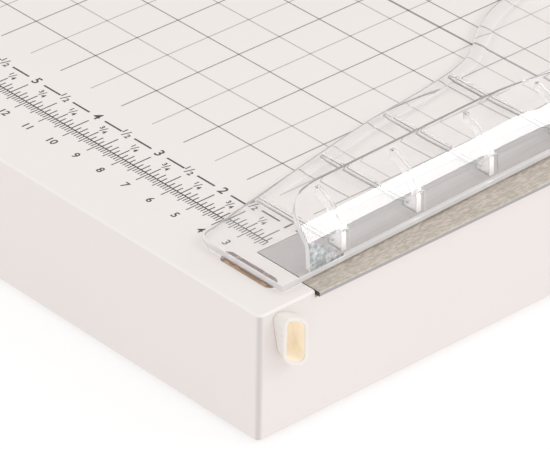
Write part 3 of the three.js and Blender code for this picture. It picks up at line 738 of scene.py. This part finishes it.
def ruler_print():
    """Inches above the long line, centimetres below it."""
    bm = bmesh.new()
    ink_bar(bm, (-RULER_END, -RULER_START), (BASELINE - 0.17, BASELINE + 0.17))
    inch_marks(bm)
    millimetre_marks(bm)
    label_dashes(bm)
    for n in range(1, 10):
        stamp(bm, str(n), -n * INCH, LABEL_ROW, INCH_LABEL, 0.07)
        stamp_fraction(bm, "1", "2", -(n + 0.5) * INCH - HALF_SHIFT, LABEL_ROW, HALF_LABEL)
        stamp_fraction(bm, "1", "4", -(n + 0.25) * INCH, QUARTER_ROW, QUARTER_LABEL)
        stamp_fraction(bm, "3", "4", -(n + 0.75) * INCH, QUARTER_ROW, QUARTER_LABEL)
    for n in range(3, 26):
        stamp(bm, str(n), -10 * n, CM_ROW, CM_LABEL, 0.05)
    mesh = bpy.data.meshes.new("ruler")
    bm.to_mesh(mesh)
    bm.free()
    add_piece("ruler_print", mesh, [INK], "base", "housing_plastic")


def grid_row(bm, y, width):
    ink_bar(bm, (GRID_LEFT, GRID_RIGHT), (y - width / 2, y + width / 2))


def grid_lines(strong):
    """Every second column and row: the strong ones, with whole inches, or the faint ones between."""
    bm = bmesh.new()
    for n in range(2, 21):
        if (n % 2 == 0) == strong:
            x = -n * INCH / 2
            ink_bar(bm, (x - LINE / 2, x + LINE / 2), (GRID_FRONT, GRID_BACK))
    for n in range(1, 20):
        if (n % 2 == 1) == strong:
            grid_row(bm, n * ROW_PITCH, LINE)
    return bm


def deck_grid():
    """Strong and faint lines, and two bold rows."""
    strong = grid_lines(True)
    for y in BOLD_ROWS:
        grid_row(strong, y, BOLD_LINE)
    faint = grid_lines(False)
    add_piece("grid_print", to_mesh(strong, "grid"), [GRID_INK], "base", "housing_plastic")
    add_piece("faint_grid_print", to_mesh(faint, "faint"), [FAINT_INK], "base", "housing_plastic")


# ---------------------------------------------------------------- clear guard
PLATE_LOW, PLATE_TOP = 0.3, 2.0
PLATE_FRONT, PLATE_BACK = -28.2, 288.0
EDGE_START = -3.4           # X of the guard's blade side at its front
EDGE_DRIFT = 0.0285         # how far that side moves left per millimetre, up to EDGE_STEADY
EDGE_STEADY = 80
TAB_CORNER = -22            # Y where the round front corner meets the table side
SHIELD_FRONT, SHIELD_BACK = -18.0, 282.0
SHIELD_WALL = 1.7
SHIELD_CORNER = 14.0        # radius of the shield's upper corners
SHIELD_STEPS = 60
SHIELD_FALL = 0.38          # how much lower the shield is behind its front part
FALL_START, FALL_END = 55, 120
SHIELD_EDGE = 15.8          # the shield's free edge lies above this
RIB_COUNT = 11
RIB_WIDTH = 1.6
RIB_RISE = 2.4              # how far a rib stands off the shield
RIB_FIRST, RIB_PITCH = -4.5, 27.4
RIB_LOW = 1.5               # height of a rib where it crosses the plate
RIB_INSET = 1.8
RIB_SHORT = -30.0           # where the ribs from RIB_WIDE backwards begin
RIB_WIDE = 100
RIB_LIGHT = 9.3             # the ribs' upright ends are frosted, with a strong painted glow, up to here
SLIT_REACH = 0.85           # a slit starts this far from the shield's upright foot
SLIT_SKIN = 0.1             # and leaves this much plastic on the foot and the plate
SLIT_TOP = 8.2
RIM_WIDTH = 4.4
RIM_RISE = 0.4
RIM_START, RIM_FULL = -4, 12            # Y where the rim starts to rise and where it is full
RIM_ROOT = 0.8              # depth of the rim's root in the plate
GATE_BACK, GATE_HEIGHT = -5.0, 9.0      # the injection gate at the shield's front foot
FOOT_LINE = 0.6             # height of the frosted line, with a faint painted glow, along the shield's foot
TABS = ((-25.4, -22.8), (-21.2, -12.6), (-11, -8.4))    # X spans of the front tabs
TAB_FOOT = -12              # Z of the tabs' lower ends
KNUCKLE = (-48.6, -19.4)    # X span of the guard's hinge
SIDEWAYS = 0.7              # share of a normal along an axis from which a face counts as facing it
TABLE_SIDE = [(-37.9, -17.6), (-43.7, 12.2), (-49.6, 43.9), (-52.6, 70), (-57, 89), (-67.3, 104.5),
              (-73.5, 118.3), (-77, 140), (-77, 180), (-72, 206), (-60, 226), (-53, 245), (-50, 262),
              (-49.5, PLATE_BACK)]


def through(points, steps):
    """Catmull-Rom curve through the points."""
    ends = [Vector(points[0]) * 2 - Vector(points[1]), *map(Vector, points),
            Vector(points[-1]) * 2 - Vector(points[-2])]
    curve = []
    for a, b, c, d in zip(ends, ends[1:], ends[2:], ends[3:]):
        for i in range(steps):
            t = i / steps
            pull = (c - a) * t + (2 * a - 5 * b + 4 * c - d) * t ** 2 + (3 * b - a - 3 * c + d) * t ** 3
            curve.append(b + pull / 2)
    return [*curve, Vector(points[-1])]


GUARD_SIDE = through(TABLE_SIDE, 8)


def guard_edge(y):
    """X of the guard's blade side, which drifts away from the bed's edge over its front part."""
    return EDGE_START - EDGE_DRIFT * (min(y, EDGE_STEADY) - PLATE_FRONT)


def guard_side(y):
    """X of the guard's table side."""
    return min(GUARD_SIDE, key=lambda p: abs(p.y - y)).x


def smoothstep(value, low, high):
    """A soft step from 0 to 1 between low and high."""
    t = min(1, max(0, (value - low) / (high - low)))
    return t * t * (3 - 2 * t)


def bend(start, corner, end, steps):
    """Points of a quadratic curve, without its last one."""
    along = [i / steps for i in range(steps)]
    return [start * (1 - t) ** 2 + corner * 2 * t * (1 - t) + end * t * t for t in along]


def shield_section():
    """Section of the shield as (x, z): an upright foot, a slanted facet, then a curl over to the ridge."""
    foot, knee, brow = Vector((-0.2, 1.0)), Vector((-0.75, 9.3)), Vector((-4.65, 13.55))
    ridge = Vector((-14.0, 17.8))
    blend = 1.2
    up = (knee - foot).normalized() * blend
    slant = (brow - knee).normalized()
    curl = 4.7
    points = [foot.lerp(knee - up, step / 4) for step in range(4)]
    points += bend(knee - up, knee, knee + slant * blend, 5)
    start = knee + slant * blend
    points += bend(start, (start + brow) / 2, brow, 4)
    points += bend(brow, brow + slant * curl, ridge, 16)
    return [*points, ridge]


SECTION = shield_section()
BROW = 13                   # the section's point where the slanted facet ends


def section_point(i, depth, y):
    """Point i of the shield's section, moved inwards by depth, at the station y."""
    before, after = SECTION[max(0, i - 1)], SECTION[min(len(SECTION) - 1, i + 1)]
    slope = (after - before).normalized()
    height = 1 - SHIELD_FALL * smoothstep(y, FALL_START, FALL_END)
    x = SECTION[i].x - slope.y * depth
    z = 1 + (SECTION[i].y + slope.x * depth - 1) * height
    return guard_edge(y) + x, z


def shield_end(i):
    """How far the shield's rounded upper corner stands back."""
    u = max(0.0, (i - BROW) / (len(SECTION) - 1 - BROW))
    return SHIELD_CORNER * (1 - math.sqrt(max(0.0, 1 - u * u)))


def shield_sheet(bm, depth):
    """Rows of points on one face of the shield, closer together at its front."""
    rows = []
    for i in range(len(SECTION)):
        first, last = SHIELD_FRONT + shield_end(i), SHIELD_BACK - shield_end(i)
        row = []
        for j in range(SHIELD_STEPS + 1):
            y = first + (last - first) * (j / SHIELD_STEPS) ** 1.5
            x, z = section_point(i, depth, y)
            row.append(bm.verts.new((x, y, z)))
        rows.append(row)
    return rows


def sheet_border(rows):
    """The points round a sheet's border, once each."""
    start = [row[0] for row in rows]
    end = [row[-1] for row in rows[-2::-1]]
    return [*start, *rows[-1][1:], *end, *rows[0][-2:0:-1]]


def shield():
    """Two sheets joined round their borders."""
    bm = bmesh.new()
    sheets = [shield_sheet(bm, depth) for depth in (0, SHIELD_WALL)]
    for rows in sheets:
        for lower, upper in zip(rows, rows[1:]):
            for j in range(SHIELD_STEPS):
                bm.faces.new((lower[j], lower[j + 1], upper[j + 1], upper[j]))
    outer, inner = map(sheet_border, sheets)
    for k in range(len(outer)):
        n = (k + 1) % len(outer)
        bm.faces.new((outer[k], outer[n], inner[n], inner[k]))
    return bevel_sharp(bm, 0.06, 1, 60)


def guard_plate():
    """The flat plate: a drifting blade side, a wavy table side and a round front corner."""
    table_side = [p for p in GUARD_SIDE if p.y < PLATE_BACK - 0.5]
    blade_side = [Vector((guard_edge(y), y)) for y in (PLATE_FRONT, 26, EDGE_STEADY, PLATE_BACK)]
    back = Vector((table_side[-1].x, PLATE_BACK))
    corner = Vector((-36.9, TAB_CORNER))
    rounding = bend(Vector((-32, PLATE_FRONT)), Vector((-36.7, PLATE_FRONT)), corner, 10)
    outline = [*blade_side, back, *reversed(table_side), corner, *reversed(rounding)]
    return soft_prism([tuple(p) for p in outline], PLATE_LOW, PLATE_TOP, 0.35, 2)


def guard_rim():
    """A raised lip along the guard's table side that grows out of the plate behind the tab."""
    quarter = [math.pi * i / 10 for i in range(11)]
    rows = []
    for before, here, after in zip(GUARD_SIDE, GUARD_SIDE[1:], GUARD_SIDE[2:]):
        inward = Vector(((after - before).y, -(after - before).x)).normalized()
        height = RIM_RISE * smoothstep(here.y, RIM_START, RIM_FULL)
        middle = here + inward * (RIM_WIDTH / 2 + 0.05)
        crown = [(-math.cos(a) * RIM_WIDTH / 2, math.sin(a) ** 2 * height) for a in quarter]
        section = [(-RIM_WIDTH / 2, -RIM_ROOT), *crown, (RIM_WIDTH / 2, -RIM_ROOT)]
        rows.append([(*(middle + inward * u), PLATE_TOP - 0.05 + w) for u, w in section])
    return skin(rows)


def guard_rib(y):
    """Low on the plate, then up the inside of the shield."""
    left = guard_side(y) + RIB_INSET if y < RIB_WIDE else RIB_SHORT
    top = PLATE_TOP + RIB_LOW
    rise = [1, 3, 9, 11, *range(BROW, len(SECTION) - 2, 2)]
    inside = [section_point(i, SHIELD_WALL + RIB_RISE, y) for i in rise]
    inside = [p for p in inside if p[1] > top + 0.3]
    outside = [section_point(i, SHIELD_WALL / 2, y) for i in reversed(rise)]
    start = [(left, 1), (left + 0.35, top - 0.6), (left + 1.2, top), (inside[0][0] - 1.5, top)]
    outline = [*start, *inside, *outside, (guard_edge(y) - 1, 1)]
    turned = [(z, x) for x, z in outline]
    return soft_prism(turned, y - RIB_WIDTH / 2, y + RIB_WIDTH / 2, 0.3, 2, "y")


def rib_slit(y):
    """The gap that keeps a rib clear of the shield's upright foot."""
    wall = guard_edge(y) - SHIELD_WALL
    across = (wall - SLIT_REACH, wall - SLIT_SKIN)
    return block(across, (y - RIB_WIDTH, y + RIB_WIDTH), (PLATE_TOP + SLIT_SKIN, SLIT_TOP))


def guard_tab(left, right):
    """A leg that goes down into the slot, with a barb at its foot."""
    front, middle, back, tip = -26.9, -26.3, -25.8, -24.7
    barb_top = TAB_FOOT + 1.2
    leg = block((left, right), (front, back), (TAB_FOOT, 1.5), 0.15)
    section = [(middle, TAB_FOOT), (back, TAB_FOOT), (tip, barb_top), (middle, barb_top)]
    barb = prism(section, left, right, "x")
    return combine(leg, barb, "UNION")


def guard_hinge():
    """A tongue behind the plate and the knuckle round the hinge pin."""
    y, z = hinge_axis()
    tongue = block(KNUCKLE, (PLATE_BACK - 2, y), (0.6, PLATE_TOP - 0.01))
    knuckle = soft_prism(round_outline(y, z, PIN_HOUSING, 32), *KNUCKLE, 0.4, 2, "x")
    bore = prism(round_outline(y, z, PIN_BORE, 24), -60, -5, "x")
    return combine(combine(tongue, knuckle, "UNION"), bore, "DIFFERENCE")


def guard_finish(face):
    """A face's material: clear unless it is a narrow side, a rib or the gate."""
    centre, normal = face.center, face.normal
    from_rib = abs((centre.y - RIB_FIRST + RIB_PITCH / 2) % RIB_PITCH - RIB_PITCH / 2)
    on_rib = centre.z > PLATE_TOP and from_rib < RIB_WIDTH
    off_wall = centre.x < guard_edge(centre.y) - SHIELD_WALL - SLIT_REACH + 0.08
    gate_top = PLATE_TOP + GATE_HEIGHT * (GATE_BACK - centre.y) / (GATE_BACK - SHIELD_FRONT)
    if PLATE_TOP < centre.z < gate_top and normal.x > 0.8:
        return CRACKLED
    # painted shade: the legs down in the slot and the shield's free edge
    if centre.z < PLATE_LOW and centre.y < 0 or centre.z > SHIELD_EDGE and normal.x < -0.5:
        return EDGE_SHADE
    if on_rib and abs(normal.y) > SIDEWAYS:
        return RIB_SIDE
    if on_rib and off_wall and centre.z < RIB_LIGHT and abs(normal.x) > SIDEWAYS:
        return RIB_END
    if 0 < centre.z < PLATE_TOP + 0.02 and abs(normal.z) < 0.97:
        return FROSTED
    foot_line = normal.x > SIDEWAYS and centre.z < PLATE_TOP + FOOT_LINE
    if centre.z > 0 and (foot_line or abs(normal.y) > SIDEWAYS):
        return FROSTED
    return CLEAR


def guard():
    """The clear guard in one piece, each face with its own finish."""
    places = [RIB_FIRST + RIB_PITCH * n for n in range(RIB_COUNT)]
    ribs = merge(*(guard_rib(y) for y in places))
    slits = merge(*(rib_slit(y) for y in places))
    tabs = merge(*(guard_tab(*span) for span in TABS))
    body = guard_plate()
    for part in (guard_rim(), shield(), ribs):
        body = weld(combine(body, part, "UNION"))
    body = weld(combine(body, slits, "DIFFERENCE"))
    for part in (tabs, guard_hinge()):
        body = weld(combine(body, part, "UNION"))
    mesh = to_mesh(body, "guard")
    for material in GUARD_LOOKS:
        mesh.materials.append(material)
    for face in mesh.polygons:
        face.material_index = GUARD_LOOKS.index(guard_finish(face))
    smooth_by_angle(mesh)
    add_piece("clear_guard", mesh, [], "guard", "clear_plastic", "guard")


# ---------------------------------------------------------------- carried-over CAD nodes
SAME_POINT = 1e-6           # metres
SCREWS = {"cover_screw": 6, "bed_screw": 4, "retainer_screw": 2, "fence_screw": 3,
          "bracket_screw": 3, "blade_screw": 3, "grip_screw": 2}


def dress(node, material, bevel=0.25):
    """Gives a CAD node its material, soft edges and smooth round faces."""
    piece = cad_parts[node]
    mesh = piece.data
    mesh.attributes.remove(mesh.attributes["custom_normal"])
    mesh.polygons.foreach_set("use_smooth", [True] * len(mesh.polygons))
    mesh.materials.clear()
    mesh.materials.append(material)
    joined = piece.modifiers.new("weld", "WELD")
    joined.merge_threshold = SAME_POINT
    soften = piece.modifiers.new("soften", "BEVEL")
    soften.width = bevel * MM
    soften.segments = 2
    soften.limit_method = "ANGLE"
    soften.angle_limit = math.radians(40)
    flat_faces_flat(piece)


def dress_nodes():
    """Every CAD node that the scene shows as it is."""
    for end in ("front", "rear"):
        for side in ("left", "right"):
            dress(f"foot_{end}_{side}", RUBBER)
    dress("bottom_cover", COVER)
    dress("paper_fence", FENCE)
    dress("guard_retainer", BRONZE, 0.1)
    dress("pivot_bracket", BRACKET)
    dress("friction_washer", NYLON, 0.1)
    dress("blade_arm", ARM_PAINT, 0.5)
    dress("moving_blade", BLADE_STEEL, 0.15)
    dress("handle_grip", GRIP, 0.4)
    dress("lock_bolt", GRIP)
    for node in ("guard_hinge_pin", "pivot_bolt", "pivot_washer", "pivot_nut"):
        dress(node, PLATED, 0.15)
    for stem, count in SCREWS.items():
        for n in range(count):
            dress(f"{stem}_{n + 1}", PLATED, 0.1)


# ---------------------------------------------------------------- studio
FLOOR_REACH = 6000
FLOOR_DEPTH = 100
SKY_FRONT, SKY_BACK = 0.84, 0.98        # strength of the soft light from the front and from behind
AZIMUTH, ELEVATION, ROLL = 47.173, 31.825, 0.911        # the camera's angles in degrees
DISTANCE = 1287.12          # from the camera to the point it looks at
LOOK_AT = Vector((-29.34, -7.08, 0))
FOCAL_LENGTH = 323.5
SENSOR_WIDTH = 36


def floor():
    """A plain pale floor."""
    span = (-FLOOR_REACH, FLOOR_REACH)
    bm = block(span, span, (-FLOOR_DEPTH, 0))
    mesh = to_mesh(bm, "floor")
    look = Look("studio_floor", roughness=0.9, emission_color=(1, 1, 1, 1), emission_strength=0.5)
    look.colour(look.ramp(look.noise(400), (0.54, 0.54, 0.54), (0.56, 0.56, 0.56)))
    mesh.transform(Matrix.Scale(MM, 4))
    stage = bpy.data.objects.new("floor", mesh)
    mesh.materials.append(look.material)
    bpy.context.scene.collection.objects.link(stage)


def softbox(name, direction, distance, size, power):
    """An area light in a direction from the cutter's front corner, turned towards it."""
    light = bpy.data.lights.new(name, "AREA")
    light.shape = "RECTANGLE"
    light.size, light.size_y = size
    light.energy = power
    lamp = bpy.data.objects.new(name, light)
    aim = Vector(direction).normalized()
    lamp.location = ZERO + aim * distance
    lamp.rotation_euler = aim.to_track_quat("Z", "Y").to_euler()
    bpy.context.scene.collection.objects.link(lamp)


def surroundings():
    """A pale even sky, slightly brighter behind, with a large window and a small fill."""
    world = bpy.data.worlds.new("studio")
    world.use_nodes = True
    background = world.node_tree.nodes["Background"]
    nodes, links = world.node_tree.nodes, world.node_tree.links
    direction = nodes.new("ShaderNodeTexCoord")
    split = nodes.new("ShaderNodeSeparateXYZ")
    depth = nodes.new("ShaderNodeMapRange")
    depth.inputs["From Min"].default_value = -1
    depth.inputs["To Min"].default_value = SKY_FRONT
    depth.inputs["To Max"].default_value = SKY_BACK
    links.new(direction.outputs["Generated"], split.inputs["Vector"])
    links.new(split.outputs["Y"], depth.inputs["Value"])
    links.new(depth.outputs["Result"], background.inputs["Strength"])
    background.inputs["Color"].default_value = (1, 1, 1, 1)
    bpy.context.scene.world = world
    softbox("window_light", (0.580, 0.631, 0.515), 2.4, (1.0, 0.38), 6.5)
    softbox("fill_light", (-0.62, -0.53, 0.58), 2.4, (0.5, 0.35), 2)


def camera():
    """A long lens that looks down on the near corner from the photo's direction."""
    azimuth, elevation, roll = (math.radians(a) for a in (AZIMUTH, ELEVATION, ROLL))
    distance = DISTANCE * MM
    target = TO_ROW @ LOOK_AT
    level_x, level_y = -math.sin(azimuth), math.cos(azimuth)
    forward = Vector((level_x * math.cos(elevation), level_y * math.cos(elevation), -math.sin(elevation)))
    level = forward.to_track_quat("-Z", "Y").to_matrix()
    data = bpy.data.cameras.new("camera")
    data.lens = FOCAL_LENGTH
    data.sensor_width = SENSOR_WIDTH
    data.clip_end = 50
    eye = bpy.data.objects.new("camera", data)
    turn = level @ Matrix.Rotation(roll, 3, "Z")
    eye.matrix_world = Matrix.Translation(target - forward * distance) @ turn.to_4x4()
    bpy.context.scene.collection.objects.link(eye)
    bpy.context.scene.camera = eye


bpy.context.scene.view_settings.view_transform = "Standard"
bpy.context.scene.cycles.blur_glossy = 0     # light reaches the deck through the clear guard
base_housing()
bed_blade()
lock_socket()
ruler_print()
deck_grid()
guard()
dress_nodes()
floor()
surroundings()
camera()
